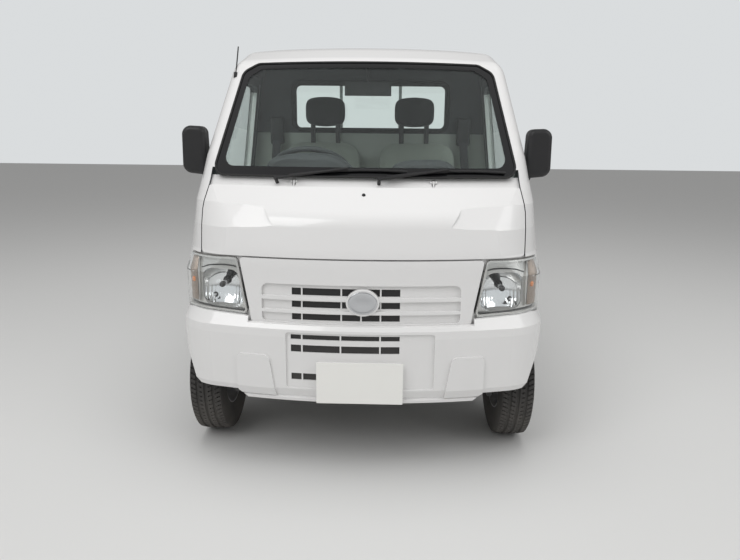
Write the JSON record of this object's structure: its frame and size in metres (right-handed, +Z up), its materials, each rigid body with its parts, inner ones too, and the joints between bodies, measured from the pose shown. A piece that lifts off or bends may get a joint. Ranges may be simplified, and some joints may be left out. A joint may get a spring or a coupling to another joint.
{
  "type": "kei truck",
  "caption": "Small cab-over pickup truck with hinged doors, front lid, drop sides and tailgate, steered front wheels and free-rolling wheels.",
  "frame": {"origin": "on the ground at the centre of the truck's overall box", "axes": "+Z up, the truck faces -Y, +X is the truck's own left (passenger) side"},
  "size_m": [1.6226, 3.395, 1.7443],
  "materials": {
    "body_paint": "gloss white",
    "glass": "clear",
    "lamp_lens": "clear",
    "lamp_reflector": "bright",
    "black_plastic": "matte",
    "interior_plastic": "grained",
    "seat_fabric": "woven",
    "plate_white": "satin",
    "chassis_black": "satin",
    "engine_metal": "cast",
    "exhaust_steel": "dull",
    "tail_lens": "gloss",
    "tyre_rubber": "matte",
    "rim_steel": "satin"
  },
  "bodies": {
    "chassis": {"antenna": "black_plastic", "bed_floor": "body_paint", "bed_frame": "body_paint", "cab_back": "body_paint", "cab_floor": "body_paint", "cab_front": "body_paint", "cross_members": "chassis_black", "dashboard": "interior_plastic", "engine_block": "engine_metal", "exhaust": "exhaust_steel", "frame_rails": "chassis_black", "front_bumper": "body_paint", "front_fascia": "body_paint", "front_suspension": "chassis_black", "fuel_tank": "chassis_black", "grille_backing": "black_plastic", "headboard": "body_paint", "headlamp_bodies": "lamp_reflector", "headlamp_lenses": "lamp_lens", "headrests": "seat_fabric", "inside_mirror": "black_plastic", "leaf_springs": "chassis_black", "plates": "plate_white", "rear_axle": "chassis_black", "rear_fenders": "black_plastic", "rear_valance": "body_paint", "rear_window": "glass", "roof": "body_paint", "seat_backs": "seat_fabric", "seat_cushions": "seat_fabric", "side_frame_left": "body_paint", "side_frame_right": "body_paint", "steering_column": "interior_plastic", "tail_lamps": "tail_lens", "windscreen": "glass", "wipers": "black_plastic"},
    "door_right": {"door_right": "body_paint", "door_glass_right": "glass", "mirror_right": "black_plastic"},
    "door_left": {"door_left": "body_paint", "door_glass_left": "glass", "mirror_left": "black_plastic"},
    "front_lid": {"front_lid": "body_paint"},
    "side_gate_left": {"side_gate_left": "body_paint"},
    "side_gate_right": {"side_gate_right": "body_paint"},
    "tailgate": {"tailgate": "body_paint"},
    "steering_wheel": {"steering_wheel": "interior_plastic"},
    "knuckle_left": {"knuckle_left": "chassis_black"},
    "knuckle_right": {"knuckle_right": "chassis_black"},
    "wheel_front_left": {"tyre_front_left": "tyre_rubber", "rim_front_left": "rim_steel"},
    "wheel_front_right": {"tyre_front_right": "tyre_rubber", "rim_front_right": "rim_steel"},
    "wheel_rear_left": {"tyre_rear_left": "tyre_rubber", "rim_rear_left": "rim_steel"},
    "wheel_rear_right": {"tyre_rear_right": "tyre_rubber", "rim_rear_right": "rim_steel"}
  },
  "joints": [
    {"name": "steer_right", "type": "hinge", "parent": "chassis", "child": "knuckle_right", "pos_m": [-0.61, -1.2525, 0.19], "axis": [0.2144, 0, 0.9767], "range_deg": [-34, 34]},
    {"name": "steer_left", "type": "hinge", "parent": "chassis", "child": "knuckle_left", "pos_m": [0.61, -1.2525, 0.19], "axis": [-0.2144, 0, 0.9767], "range_deg": [-34, 34]},
    {"name": "steering_wheel_turn", "type": "hinge", "parent": "chassis", "child": "steering_wheel", "pos_m": [-0.262, -0.9555, 1.146], "axis": [0, 0.6, 0.8], "range_deg": [-578.5, 578.5]},
    {"name": "spin_front_left", "type": "hinge", "parent": "knuckle_left", "child": "wheel_front_left", "pos_m": [0.65, -1.2525, 0.271], "axis": [1, 0, 0], "continuous": true},
    {"name": "spin_front_right", "type": "hinge", "parent": "knuckle_right", "child": "wheel_front_right", "pos_m": [-0.65, -1.2525, 0.271], "axis": [1, 0, 0], "continuous": true},
    {"name": "spin_rear_left", "type": "hinge", "parent": "chassis", "child": "wheel_rear_left", "pos_m": [0.65, 1.1675, 0.271], "axis": [1, 0, 0], "continuous": true},
    {"name": "spin_rear_right", "type": "hinge", "parent": "chassis", "child": "wheel_rear_right", "pos_m": [-0.65, 1.1675, 0.271], "axis": [1, 0, 0], "continuous": true},
    {"name": "door_left_hinge", "type": "hinge", "parent": "chassis", "child": "door_left", "pos_m": [0.718, -1.1975, 0.65], "axis": [0, 0, -1], "range_deg": [0, 65]},
    {"name": "door_right_hinge", "type": "hinge", "parent": "chassis", "child": "door_right", "pos_m": [-0.718, -1.1975, 0.65], "axis": [0, 0, 1], "range_deg": [0, 65]},
    {"name": "front_lid_hinge", "type": "hinge", "parent": "chassis", "child": "front_lid", "pos_m": [0, -1.3975, 1.128], "axis": [-1, 0, 0], "range_deg": [0, 40]},
    {"name": "side_gate_left_hinge", "type": "hinge", "parent": "chassis", "child": "side_gate_left", "pos_m": [0.7375, 0, 0.651], "axis": [0, 1, 0], "range_deg": [0, 180]},
    {"name": "side_gate_right_hinge", "type": "hinge", "parent": "chassis", "child": "side_gate_right", "pos_m": [-0.7375, 0, 0.651], "axis": [0, -1, 0], "range_deg": [0, 180]},
    {"name": "tailgate_hinge", "type": "hinge", "parent": "chassis", "child": "tailgate", "pos_m": [0, 1.6895, 0.651], "axis": [-1, 0, 0], "range_deg": [0, 180]}
  ],
  "couplings": [
    {"joint": "steer_left", "follows": "steer_right", "ratio": 1},
    {"joint": "steering_wheel_turn", "follows": "steer_right", "ratio": 17}
  ]
}
